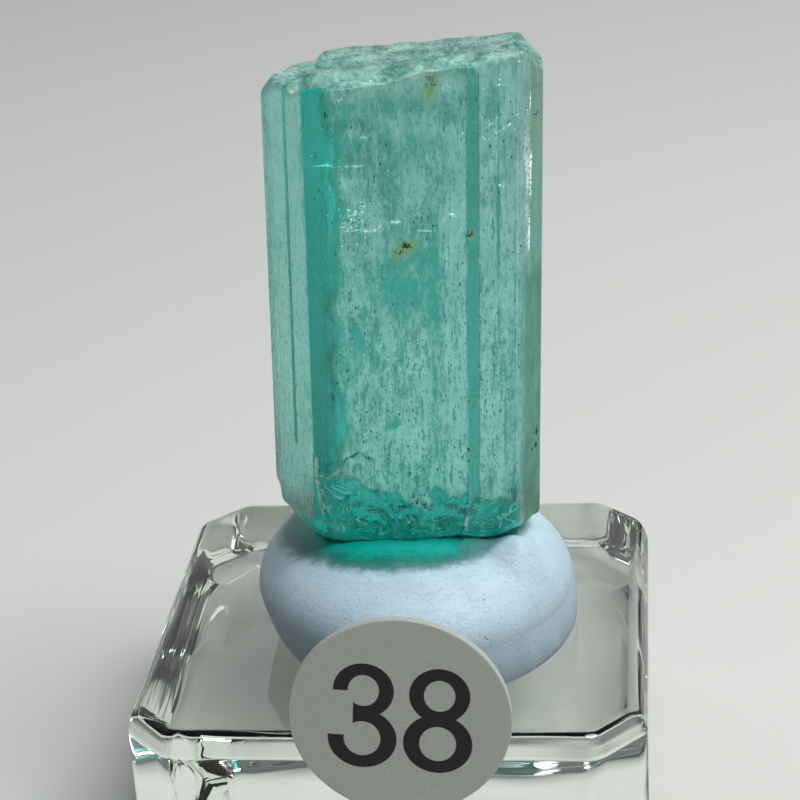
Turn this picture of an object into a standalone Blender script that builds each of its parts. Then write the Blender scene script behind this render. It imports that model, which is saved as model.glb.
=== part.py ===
"""Aquamarine crystal pressed into mounting putty on a clear glass display block.

The origin is the centre of the block's underside, +Z is up, and the number label is on the block's
front face, at -Y. Lengths are in metres.

The block is a square of clear glass with cut corners and a bevelled top edge. The putty is a ball that was
pressed flat on the block and then dented by the crystal's foot. The crystal is an uneven six-sided prism,
broken across at both ends. It leans a little to the right and is turned to face slightly right of front.
The label is a round disc on the block's front face, standing above the block's top edge.
"""

from math import cos, pi, radians, sin, sqrt

import bmesh
import bpy
from mathutils import Euler, Matrix, Vector

MM = 0.001

TOUCH_GAP = 0.3 * MM  # clearance between pieces that touch

BLOCK_WIDTH = 30.0 * MM
BLOCK_HEIGHT = 12.0 * MM
BLOCK_CORNER_CUT = 2.85 * MM
BLOCK_BEVEL_DROP = 1.3 * MM
BLOCK_BEVEL_INSET = 0.45 * MM
BLOCK_EDGE_ROUND = 0.18 * MM

PUTTY_CENTRE = (1.16 * MM, -1.5 * MM)
PUTTY_RADIUS = 9.42 * MM  # at the bulge
PUTTY_FOOT_RADIUS = 8.42 * MM  # where it is pressed on the glass
PUTTY_BULGE_HEIGHT = 3.2 * MM
PUTTY_CROWN = 4.45 * MM  # from the bulge to the top
PUTTY_DEPTH_RATIO = 1.09  # longer from front to back
PUTTY_TILT = -0.087  # the left side stands higher
PUTTY_FOOT_SHIFT = 0.71 * MM  # the foot is pushed to the right under the bulge
PUTTY_LIP_HEIGHT = 1.35 * MM  # putty squeezed up beside the crystal's right front corner
PUTTY_LIP_CENTRE = (8.0 * MM, -4.6 * MM)
PUTTY_LIP_SPREAD = 2.6 * MM

CRYSTAL_FOOT = (0.8 * MM, -0.6 * MM, BLOCK_HEIGHT + 7.3 * MM)
CRYSTAL_LEAN = radians(2.3)
CRYSTAL_TURN = radians(7.0)
CRYSTAL_LOWEST = -3.0 * MM  # the uncut prism's ends, before both breaks
CRYSTAL_HIGHEST = 31.0 * MM
BREAK_TOP_LEVEL = 27.6  # millimetres above the crystal's foot point
BREAK_FOOT_LEVEL = -1.2

LABEL_RADIUS = 6.2 * MM
LABEL_THICKNESS = 0.5 * MM
LABEL_CENTRE_X = 1.45 * MM
LABEL_CENTRE_Z = BLOCK_HEIGHT + 1.85 * MM
LABEL_EDGE_ROUND = 0.12 * MM

# The prism seen from above, in millimetres, anticlockwise from the left corner. Faces meet at about
# 120 degrees.
PRISM_CORNERS = {
    "left": (-7.78, -1.30),
    "front_left": (-5.45, -5.10),
    "front_right": (3.42, -5.10),
    "strip_left": (4.08, -4.62),
    "strip_right": (6.28, -4.10),
    "right": (7.74, -1.30),
    "right_back": (7.80, 1.80),
    "back_right": (5.95, 5.00),
    "back_left": (-4.12, 5.00),
}
# Growth grooves that run the whole length of a face, as (share of the way along it, width, depth).
FACE_GROOVES = {
    "left": [(0.575, 0.26, 0.22)],
    "right": [(0.60, 0.34, 0.16)],
    "right_back": [(0.35, 0.50, 0.16)],
    "back_right": [(0.22, 0.40, 0.14)],
    "back_left": [(0.45, 0.60, 0.18)],
}
BACK_LEDGE_X = -0.4
BACK_LEDGE_DEPTH = 0.24
LEDGE_RUN = 0.14


def clear_scene():
    for old in list(bpy.data.objects):
        bpy.data.objects.remove(old, do_unlink=True)


def new_collection(name):
    collection = bpy.data.collections.new(name)
    bpy.context.scene.collection.children.link(collection)
    return collection


def new_material(name, colour, roughness, metallic=0.0, transmission=0.0, ior=1.5):
    material = bpy.data.materials.new(name)
    material.use_nodes = True
    material.diffuse_color = (*colour, 1.0)
    shader = material.node_tree.nodes["Principled BSDF"]
    shader.inputs["Base Color"].default_value = (*colour, 1.0)
    shader.inputs["Roughness"].default_value = roughness
    shader.inputs["Metallic"].default_value = metallic
    shader.inputs["Transmission Weight"].default_value = transmission
    shader.inputs["IOR"].default_value = ior
    return material


def mesh_object(name, bm, collection, material=None):
    bmesh.ops.recalc_face_normals(bm, faces=bm.faces)
    mesh = bpy.data.meshes.new(name)
    bm.to_mesh(mesh)
    bm.free()
    if material:
        mesh.materials.append(material)
    part = bpy.data.objects.new(name, mesh)
    collection.objects.link(part)
    return part


def as_cutter(part):
    part.hide_render = True
    part.display_type = "WIRE"
    return part


def cut_with(part, cutter):
    modifier = part.modifiers.new("cut by " + cutter.name, "BOOLEAN")
    modifier.operation = "DIFFERENCE"
    modifier.solver = "EXACT"
    modifier.object = cutter


def round_edges(part, width, angle):
    modifier = part.modifiers.new("rounded edges", "BEVEL")
    modifier.width = width
    modifier.segments = 2
    modifier.limit_method = "ANGLE"
    modifier.angle_limit = angle


def shade_round(part, angle):
    part.data.shade_smooth()
    part.data.set_sharp_from_angle(angle=angle)


def ease(value, start, end):
    """0 before start, 1 past end, and a smooth S between them."""
    share = min(max((value - start) / (end - start), 0.0), 1.0)
    return share * share * (3.0 - 2.0 * share)


def glass_block(collection, material):
    """A cube with its four upright edges cut, and its top face drawn in and up for the bevel."""
    bm = bmesh.new()
    bmesh.ops.create_cube(bm, size=1.0)
    body_height = BLOCK_HEIGHT - BLOCK_BEVEL_DROP
    bmesh.ops.scale(bm, vec=(BLOCK_WIDTH, BLOCK_WIDTH, body_height), verts=bm.verts)
    bmesh.ops.translate(bm, vec=(0.0, 0.0, body_height / 2), verts=bm.verts)
    upright = [edge for edge in bm.edges if abs(edge.verts[0].co.z - edge.verts[1].co.z) > body_height / 2]
    bmesh.ops.bevel(bm, geom=upright, offset=BLOCK_CORNER_CUT, segments=1, affect="EDGES")
    top = [face for face in bm.faces if face.calc_center_median().z > body_height * 0.99]
    bmesh.ops.inset_region(bm, faces=top, thickness=BLOCK_BEVEL_INSET, depth=BLOCK_BEVEL_DROP,
                           use_even_offset=True)
    block = mesh_object("glass_block", bm, collection, material)
    round_edges(block, BLOCK_EDGE_ROUND, radians(20))
    shade_round(block, radians(30))
    return block


def putty_profile():
    """The pressed ball's half outline as (radius, height), from its top down its side to its foot."""
    top_steps = 12
    foot_steps = 5
    points = []
    for step in range(top_steps + 1):
        angle = pi / 2 * (1.0 - step / top_steps)
        points.append((PUTTY_RADIUS * cos(angle), PUTTY_BULGE_HEIGHT + PUTTY_CROWN * sin(angle)))
    for step in range(1, foot_steps + 1):
        angle = pi / 2 * step / foot_steps
        radius = PUTTY_FOOT_RADIUS + (PUTTY_RADIUS - PUTTY_FOOT_RADIUS) * cos(angle)
        height = TOUCH_GAP + (PUTTY_BULGE_HEIGHT - TOUCH_GAP) * (1.0 - sin(angle))
        points.append((radius, height))
    points.append((0.0, TOUCH_GAP))
    points[0] = (0.0, points[0][1])
    return points


def putty_ball(collection, material):
    """The profile turned about Z, then made uneven: tilted, oval, and squeezed up beside the crystal."""
    turns = 44
    bm = bmesh.new()
    ring = [bm.verts.new((radius, 0.0, height)) for radius, height in putty_profile()]
    for start, end in zip(ring, ring[1:]):
        bm.edges.new((start, end))
    bmesh.ops.spin(bm, geom=bm.verts[:] + bm.edges[:], cent=(0, 0, 0), axis=(0, 0, 1), angle=2 * pi,
                   steps=turns, use_merge=True)
    bmesh.ops.remove_doubles(bm, verts=bm.verts, dist=0.01 * MM)
    for vert in bm.verts:
        x, y, z = vert.co
        above_glass = z - TOUCH_GAP
        under_bulge = max(0.0, 1.0 - z / PUTTY_BULGE_HEIGHT)
        tilt = 1.0 + PUTTY_TILT * x / PUTTY_RADIUS
        x = x + PUTTY_FOOT_SHIFT * under_bulge + PUTTY_CENTRE[0]
        y = y * PUTTY_DEPTH_RATIO + PUTTY_CENTRE[1]
        away = sqrt((x - PUTTY_LIP_CENTRE[0]) ** 2 + (y - PUTTY_LIP_CENTRE[1]) ** 2)
        lip = PUTTY_LIP_HEIGHT * (1.0 - ease(away, 0.0, PUTTY_LIP_SPREAD))
        lip *= ease(above_glass, PUTTY_BULGE_HEIGHT, PUTTY_BULGE_HEIGHT + 1.5 * MM)
        vert.co = (x, y, BLOCK_HEIGHT + TOUCH_GAP + above_glass * tilt + lip)
    putty = mesh_object("putty", bm, collection, material)
    shade_round(putty, radians(50))
    return putty


def crystal_frame(collection):
    """An empty at the crystal's foot, turned about the prism's length and then leaned to the right."""
    frame = bpy.data.objects.new("crystal_frame", None)
    frame.empty_display_size = 5 * MM
    frame.location = CRYSTAL_FOOT
    frame.rotation_mode = "ZYX"
    frame.rotation_euler = (0.0, CRYSTAL_LEAN, CRYSTAL_TURN)
    collection.objects.link(frame)
    return frame


def back_ledge(corners):
    """The left part of the back face, one growth layer lower than the right part."""
    edge = Vector((BACK_LEDGE_X, corners["back_right"].y))
    lower_edge = edge + Vector((-LEDGE_RUN, -BACK_LEDGE_DEPTH))
    slope = (corners["left"] - corners["back_left"]).normalized()
    lowered_corner = corners["back_left"] + slope * BACK_LEDGE_DEPTH / -slope.y
    return edge, lower_edge, lowered_corner


def prism_outline():
    """The corners with each face's grooves and the back ledge put in, in millimetres."""
    corners = {name: Vector(place) for name, place in PRISM_CORNERS.items()}
    ledge_edge, ledge_foot, corners["back_left"] = back_ledge(corners)
    names = list(corners)
    outline = []
    for name, next_name in zip(names, names[1:] + names[:1]):
        start = corners[name]
        end = corners[next_name]
        along = (end - start).normalized()
        inward = Vector((-along.y, along.x))
        outline.append(start)
        for share, width, depth in FACE_GROOVES.get(name, []):
            bottom = start.lerp(end, share)
            outline += [bottom - along * width / 2, bottom + inward * depth, bottom + along * width / 2]
        if name == "back_right":
            outline += [ledge_edge, ledge_foot]
    return outline


def grown_outline(outline, gap):
    """Each side moved out by the gap, with the corners where the moved sides meet."""
    grown = []
    for index, corner in enumerate(outline):
        before = (corner - outline[index - 1]).normalized()
        after = (outline[(index + 1) % len(outline)] - corner).normalized()
        out_before = Vector((before.y, -before.x))
        out_after = Vector((after.y, -after.x))
        middle = (out_before + out_after).normalized()
        grown.append(corner + middle * gap / middle.dot(out_before))
    return grown


def prism(name, outline, low, high, collection, frame, material=None):
    """A flat outline extruded along the crystal's length, as a welded mesh in the crystal's frame."""
    curve = bpy.data.curves.new(name, "CURVE")
    curve.dimensions = "2D"
    curve.fill_mode = "BOTH"
    curve.extrude = (high - low) / 2
    spline = curve.splines.new("POLY")
    spline.points.add(len(outline) - 1)
    for point, corner in zip(spline.points, outline):
        point.co = (corner.x * MM, corner.y * MM, 0.0, 1.0)
    spline.use_cyclic_u = True
    guide = bpy.data.objects.new(name + "_outline", curve)
    collection.objects.link(guide)
    guide.location = (0.0, 0.0, (low + high) / 2)
    bpy.context.view_layer.update()
    evaluated = guide.evaluated_get(bpy.context.evaluated_depsgraph_get())
    mesh = bpy.data.meshes.new_from_object(evaluated)
    place = guide.matrix_world.copy()
    bm = bmesh.new()
    bm.from_mesh(mesh)
    bmesh.ops.remove_doubles(bm, verts=bm.verts, dist=0.01 * MM)
    bpy.data.objects.remove(guide, do_unlink=True)
    bpy.data.meshes.remove(mesh)
    part = mesh_object(name, bm, collection, material)
    part.parent = frame
    part.matrix_local = place
    return part


def top_height(x, y):
    """The broken top: a tilted plane with a lower ledge at the left front, ridges across it and a worn
    shoulder at each side. Millimetres."""
    ledge = 0.5 * ease(-y, 2.6, 4.6) * (1.0 - ease(x, -0.9, 1.4))
    shoulders = 1.0 * ease(-x, 6.8, 7.9) + 1.05 * ease(x, 6.6, 7.9)
    ridges = 0.16 * sin(1.9 * y + 0.5 * sin(0.9 * x) + 0.3 * x) + 0.10 * sin(3.4 * y - 0.7 * x + 1.3)
    pits = 0.08 * sin(2.7 * x + 0.8 * y) * sin(1.6 * y - 0.5)
    return BREAK_TOP_LEVEL + 0.1 * x - 0.13 * y - ledge - shoulders + ridges + pits


def foot_height(x, y):
    """The broken foot: a shallow hollow boss that rises to the front and left rims. Millimetres."""
    front = 1.5 * ease(-y, 2.4, 5.1)
    left = 2.5 * ease(-x, 4.6, 7.8) * (1.0 - 0.3 * ease(-y, 2.4, 5.1))
    right = 0.7 * ease(x, 5.6, 7.8)
    waves = 0.12 * sin(1.3 * x + 0.5 * y) + 0.09 * sin(2.1 * y - 0.9 * x)
    return BREAK_FOOT_LEVEL + front + left + right + waves


def break_cutter(name, height_of, far_height, cells, collection, frame):
    """A grid lifted to a broken surface and extruded to a flat far side."""
    half_x = 9.0
    half_y = 6.4
    bm = bmesh.new()
    bmesh.ops.create_grid(bm, x_segments=cells[0], y_segments=cells[1], size=1.0)
    for vert in bm.verts:
        x = vert.co.x * half_x
        y = vert.co.y * half_y
        vert.co = (x * MM, y * MM, height_of(x, y) * MM)
    extruded = bmesh.ops.extrude_face_region(bm, geom=bm.faces[:])
    for item in extruded["geom"]:
        if isinstance(item, bmesh.types.BMVert):
            item.co.z = far_height
    cutter = as_cutter(mesh_object(name, bm, collection))
    cutter.parent = frame
    return cutter


def chip_cutter(name, centre, radii, collection, frame):
    """A ball stretched to the radii: what it takes off is a shell-like chip. Millimetres."""
    bm = bmesh.new()
    bmesh.ops.create_uvsphere(bm, u_segments=28, v_segments=18, radius=MM)
    bmesh.ops.scale(bm, vec=radii, verts=bm.verts)
    cutter = as_cutter(mesh_object(name, bm, collection))
    cutter.parent = frame
    cutter.location = Vector(centre) * MM
    cutter.rotation_euler = Euler((0.1, 0.2, 0.4))
    return cutter


def strip_cutter(name, left_x, low, high, collection, frame):
    """A slab that lowers the right part of the narrow front strip by one thin growth layer."""
    layer = 0.13
    left = Vector(PRISM_CORNERS["strip_left"])
    right = Vector(PRISM_CORNERS["strip_right"])
    run = (right - left).normalized()
    outward = Vector((run.y, -run.x))
    start = left + run * (left_x - left.x) / run.x
    size = (3.0, 2.0, high - low)
    centre = start + run * size[0] / 2 + outward * (size[1] / 2 - layer)
    bm = bmesh.new()
    bmesh.ops.create_cube(bm, size=MM)
    bmesh.ops.scale(bm, vec=size, verts=bm.verts)
    cutter = as_cutter(mesh_object(name, bm, collection))
    cutter.parent = frame
    cutter.matrix_local = (Matrix.Translation((centre.x * MM, centre.y * MM, (low + high) / 2 * MM))
                           @ Matrix.Rotation(run.angle_signed(Vector((1.0, 0.0))), 4, "Z"))
    return cutter


def crystal_prism(collection, cutters, frame, material):
    """The extruded prism, broken at both ends, with its growth layer and chips cut in."""
    crystal = prism("crystal", prism_outline(), CRYSTAL_LOWEST, CRYSTAL_HIGHEST, collection, frame, material)
    pieces = [
        strip_cutter("upper_layer", 5.16, 12.3, 40.0, cutters, frame),
        strip_cutter("lower_layer", 5.55, -10.0, 12.3, cutters, frame),
        chip_cutter("corner_chip", (-7.15, -7.75, 5.0), (4.0, 4.0, 5.0), cutters, frame),
        chip_cutter("edge_chip", (-10.0, -1.2, 1.2), (2.7, 3.0, 3.2), cutters, frame),
        chip_cutter("front_chip", (0.6, -7.0, -0.9), (4.2, 2.3, 1.7), cutters, frame),
        break_cutter("top_break", top_height, 36.0 * MM, (26, 26), cutters, frame),
        break_cutter("foot_break", foot_height, -8.0 * MM, (18, 16), cutters, frame),
    ]
    for piece in pieces:
        cut_with(crystal, piece)
    return crystal


def socket_cutter(cutters, frame):
    """The crystal's foot with clearance all round, which is the dent that it leaves in the putty."""
    outline = grown_outline([Vector(corner) for corner in PRISM_CORNERS.values()], TOUCH_GAP / MM)
    socket = as_cutter(prism("socket", outline, CRYSTAL_LOWEST, CRYSTAL_HIGHEST, cutters, frame))
    floor = break_cutter("socket_floor", foot_height, -8.0 * MM, (18, 16), cutters, frame)
    floor.location.z = -TOUCH_GAP
    cut_with(socket, floor)
    return socket


def number_label(collection, material):
    """A thin upright disc in front of the block, with softly rounded rims."""
    bm = bmesh.new()
    bmesh.ops.create_cone(bm, cap_ends=True, segments=72, radius1=LABEL_RADIUS, radius2=LABEL_RADIUS,
                          depth=LABEL_THICKNESS)
    bmesh.ops.rotate(bm, cent=(0, 0, 0), matrix=Matrix.Rotation(radians(90), 3, "X"), verts=bm.verts)
    label = mesh_object("number_label", bm, collection, material)
    front_face_y = -BLOCK_WIDTH / 2
    label.location = (LABEL_CENTRE_X, front_face_y - TOUCH_GAP - LABEL_THICKNESS / 2, LABEL_CENTRE_Z)
    round_edges(label, LABEL_EDGE_ROUND, radians(40))
    shade_round(label, radians(35))
    return label


def build():
    clear_scene()
    parts = new_collection("mounted_aquamarine_crystal")
    cutters = new_collection("cutters")
    aquamarine = new_material("aquamarine", (0.16, 0.52, 0.42), 0.12, transmission=0.85, ior=1.575)
    clay = new_material("putty", (0.37, 0.45, 0.60), 0.55)
    glass = new_material("glass", (0.92, 0.95, 0.94), 0.02, transmission=1.0, ior=1.52)
    card = new_material("label", (0.62, 0.62, 0.60), 0.5)
    glass_block(parts, glass)
    frame = crystal_frame(parts)
    crystal_prism(parts, cutters, frame, aquamarine)
    putty = putty_ball(parts, clay)
    cut_with(putty, socket_cutter(cutters, frame))
    number_label(parts, card)


build()
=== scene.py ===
# Aquamarine crystal in blue-grey putty on a clear glass block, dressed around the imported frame.
# Lengths in the dictionaries are millimetres in the frame's axes unless a note says otherwise.
import bpy
import numpy as np
from math import cos, pi, radians, sin, tan
from mathutils import Euler, Matrix, Vector


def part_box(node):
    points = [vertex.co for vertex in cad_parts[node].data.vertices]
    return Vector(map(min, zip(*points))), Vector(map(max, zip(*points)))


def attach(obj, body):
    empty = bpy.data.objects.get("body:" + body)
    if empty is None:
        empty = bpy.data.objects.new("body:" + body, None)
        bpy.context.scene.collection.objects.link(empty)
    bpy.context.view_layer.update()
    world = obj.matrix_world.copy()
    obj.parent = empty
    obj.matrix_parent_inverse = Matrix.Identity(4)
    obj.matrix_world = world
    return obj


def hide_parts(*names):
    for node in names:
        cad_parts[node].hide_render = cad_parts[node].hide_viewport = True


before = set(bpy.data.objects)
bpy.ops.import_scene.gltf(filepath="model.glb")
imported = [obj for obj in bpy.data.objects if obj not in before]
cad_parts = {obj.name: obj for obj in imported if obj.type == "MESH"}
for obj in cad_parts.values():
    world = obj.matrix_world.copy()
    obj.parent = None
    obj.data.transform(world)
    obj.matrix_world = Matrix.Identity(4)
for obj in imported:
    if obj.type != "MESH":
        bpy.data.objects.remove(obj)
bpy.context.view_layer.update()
mm = 0.001


def ease(value, start, end):
    # smooth S from 0 at start to 1 at end: t * t * (3 - 2 t)
    share = np.clip((value - start) / (end - start), 0.0, 1.0)
    return share * share * (3.0 - 2.0 * share)


def hills(a, b, seed, around=256):
    # value noise from -1 to 1: random heights on whole-number corners, blended by ease between them.
    # a repeats after `around` cells, so a pattern can close round an outline
    table = np.random.RandomState(seed).uniform(-1.0, 1.0, (256, 256))
    cellA, cellB = np.floor(a).astype(int), np.floor(b).astype(int)
    partA, partB = ease(a - cellA, 0.0, 1.0), ease(b - cellB, 0.0, 1.0)
    left, right = cellA % around, (cellA + 1) % around
    low, high = cellB % 256, (cellB + 1) % 256
    bottom = table[left, low] * (1 - partA) + table[right, low] * partA
    top = table[left, high] * (1 - partA) + table[right, high] * partA
    return bottom * (1 - partB) + top * partB


def unit(vector):
    # the vector divided by its own length
    return vector / np.hypot(*vector)


def skinFaces(rows, columns, start=0):
    # quads between rings of points and a fan of triangles at each end, all facing out
    row, column = np.meshgrid(np.arange(rows - 1), np.arange(columns), indexing="ij")
    after = (column + 1) % columns
    quads = np.stack([row * columns + column, row * columns + after,
                      (row + 1) * columns + after, (row + 1) * columns + column], -1).reshape(-1, 4)
    ring = np.arange(columns)
    nextRing = (ring + 1) % columns
    topRow = (rows - 1) * columns
    lowFan = np.stack([np.full(columns, rows * columns), nextRing, ring], -1)
    highFan = np.stack([np.full(columns, rows * columns + 1), topRow + ring, topRow + nextRing], -1)
    corners = np.concatenate([quads.ravel(), lowFan.ravel(), highFan.ravel()]) + start
    return corners, np.concatenate([np.full(len(quads), 4), np.full(2 * columns, 3)])


def meshPiece(name, points, corners, sizes, sharpAngle=180, zones=None):
    # points in millimetres go into a mesh object; zones are four values for each point, kept as an attribute
    mesh = bpy.data.meshes.new(name)
    mesh.vertices.add(len(points))
    mesh.vertices.foreach_set("co", (points * mm).ravel().astype(np.float32))
    mesh.loops.add(len(corners))
    mesh.loops.foreach_set("vertex_index", corners.astype(np.int32))
    mesh.polygons.add(len(sizes))
    mesh.polygons.foreach_set("loop_start", np.concatenate([[0], np.cumsum(sizes)[:-1]]).astype(np.int32))
    mesh.polygons.foreach_set("use_smooth", np.ones(len(sizes), bool))
    mesh.update(calc_edges=True)
    if zones is not None:
        layer = mesh.attributes.new("zones", "FLOAT_COLOR", "POINT")
        layer.data.foreach_set("color", zones.ravel().astype(np.float32))
    mesh.validate()
    if sharpAngle < 180:
        mesh.set_sharp_from_angle(angle=radians(sharpAngle))
    piece = bpy.data.objects.new(name, mesh)
    bpy.context.scene.collection.objects.link(piece)
    return piece


def closedSkin(name, rings, lowPole, highPole, sharpAngle, zones=None):
    # a closed solid: rings of points, anticlockwise seen from above and listed from low to high, with a
    # pole point closing each end. rings is rows x columns x 3, in millimetres
    points = np.concatenate([rings.reshape(-1, 3), [lowPole], [highPole]])
    corners, sizes = skinFaces(*rings.shape[:2])
    return meshPiece(name, points, corners, sizes, sharpAngle, zones)


def filletedOutline(corners, cells, radius, arcSteps=4, support=0.05):
    # walks the corner points anticlockwise: at each corner an arc of the radius that turns from one side's
    # outward direction to the next, then points along the side, one cell apart, with one more at the support
    # distance beside each arc. Gives places, outward directions, each point's side and how far along it lies
    corners = np.array(corners, float)
    along = np.roll(corners, -1, 0) - corners
    along /= np.hypot(*along.T)[:, None]
    after = np.column_stack([along[:, 1], -along[:, 0]])
    before = np.roll(after, 1, 0)
    middle = (before + after) / np.hypot(*(before + after).T)[:, None]
    arcCentres = corners - middle * radius / (middle * before).sum(1)[:, None]
    turn = np.linspace(0, 1, arcSteps + 1)[:, None]
    places, outs, sides = [], [], []
    for index, out in enumerate(after):
        sweep = before[index] * (1 - turn) + out * turn
        sweep /= np.hypot(*sweep.T)[:, None]
        start, end = arcCentres[index] + out * radius, arcCentres[(index + 1) % len(corners)] + out * radius
        length = np.hypot(*(end - start))
        share = np.linspace(0, 1, max(int(round(length / cells[index])), 2) + 1)[1:-1]
        if support:
            share = np.concatenate([[support / length], share, [1 - support / length]])
        places += [arcCentres[index] + sweep * radius, start + (end - start) * share[:, None]]
        outs += [sweep, np.repeat(out[None], len(share), 0)]
        sides.append(np.full(len(turn) + len(share), index))
    places, outs, sides = map(np.concatenate, (places, outs, sides))
    return places, outs, sides, ((places - corners[sides]) * along[sides]).sum(1)


def raised(flat, height):
    # flat points, each at the height that the function gives there
    return np.concatenate([flat, height(flat[..., 0], flat[..., 1])[..., None]], -1)


def between(value, rise, fall):
    # 1 between two soft steps, 0 outside them
    return ease(value, *rise) * (1 - ease(value, *fall))


def softLine(distance, width):
    # a line with soft edges: exp(-(distance / width)^2)
    return np.exp(-(distance / width) ** 2)


def feed(node, sockets):
    # sets a node's sockets, by name or number, to values or to wires
    for key, value in sockets.items():
        if isinstance(value, Wire):
            node.id_data.links.new(value.socket, node.inputs[key])
        else:
            node.inputs[key].default_value = value


class Wire:  # one output socket of a material's nodes; arithmetic on wires adds Math nodes
    def __init__(self, socket):
        self.socket = socket

    def node(self, kind, settings, sockets, out=0):
        # adds a node: its settings first, then its sockets
        made = self.socket.id_data.nodes.new(kind)
        for key, value in settings.items():
            setattr(made, key, value)
        feed(made, sockets)
        return Wire(made.outputs[out])

    def math(self, operation, first, second=0.0, clamp=False):
        return self.node("ShaderNodeMath", {"operation": operation, "use_clamp": clamp},
                         {0: first, 1: second})

    def __add__(self, other): return self.math("ADD", self, other)
    def __radd__(self, other): return self.math("ADD", other, self)
    def __sub__(self, other): return self.math("SUBTRACT", self, other)
    def __rsub__(self, other): return self.math("SUBTRACT", other, self)
    def __mul__(self, other): return self.math("MULTIPLY", self, other)
    def __rmul__(self, other): return self.math("MULTIPLY", other, self)
    def __truediv__(self, other): return self.math("DIVIDE", self, other)
    def __pow__(self, other): return self.math("POWER", self, other)
    def high(self, other): return self.math("MAXIMUM", self, other)
    def size(self): return self.math("ABSOLUTE", self)
    def fraction(self): return self.math("FRACT", self)
    def clamped(self): return self.math("ADD", self, 0.0, True)

    def rise(self, start, end):
        # smooth S from 0 at start to 1 at end, clamped; start may be above end
        return self.node("ShaderNodeMapRange", {"interpolation_type": "SMOOTHSTEP"},
                         {"Value": self, "From Min": start, "From Max": end})

    def outputs(self, *keys):
        # other outputs of this wire's node, by name or number
        return [Wire(self.socket.node.outputs[key]) for key in keys]

    def axes(self):
        return self.node("ShaderNodeSeparateXYZ", {}, {0: self}).outputs(0, 1, 2)

    def millimetres(self):
        return self.stretched(1 / mm, 1 / mm, 1 / mm)

    def stretched(self, x, y, z):
        # each axis multiplied: below 1 draws a pattern out along it
        return self.node("ShaderNodeVectorMath", {"operation": "MULTIPLY"}, {0: self, 1: (x, y, z)})

    def noise(self, scale, detail=3.0, rough=0.55, warp=0.0):
        return self.node("ShaderNodeTexNoise", {}, {"Vector": self, "Scale": scale, "Detail": detail,
                                                    "Roughness": rough, "Distortion": warp})

    def blend(self, first, second):
        # colour mix by this wire: first at 0, second at 1
        return self.node("ShaderNodeMix", {"data_type": "RGBA"}, {0: self, 6: first, 7: second}, out=2)


def newMaterial(name):
    # gives the material, its shader node and a wire of its Object coordinates, which are in metres
    material = bpy.data.materials.new(name)
    material.use_nodes = True
    nodes = material.node_tree.nodes
    return material, nodes["Principled BSDF"], Wire(nodes.new("ShaderNodeTexCoord").outputs["Object"])


def bumpOf(coords, height, strength, distance):
    return coords.node("ShaderNodeBump", {}, {"Strength": strength, "Distance": distance * mm,
                                              "Height": height})


def absorbInside(coords, colour, density):
    # the clear body takes up light: exp(-(1 - colour) * density * metres of path)
    absorb = coords.node("ShaderNodeVolumeAbsorption", {}, {"Color": colour, "Density": density})
    feed(coords.socket.id_data.nodes["Material Output"], {"Volume": absorb})


def dress(piece, material, slotName, *nodes):
    # the piece takes the material, rides the body, and replaces the frame's nodes that are named; the slot
    # name is not used
    piece.data.materials.append(material)
    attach(piece, "root")
    if nodes:
        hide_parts(*nodes)
    print(piece.name, "made,", len(piece.data.polygons), "faces")


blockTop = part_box("glass_block")[1].z / mm

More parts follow.
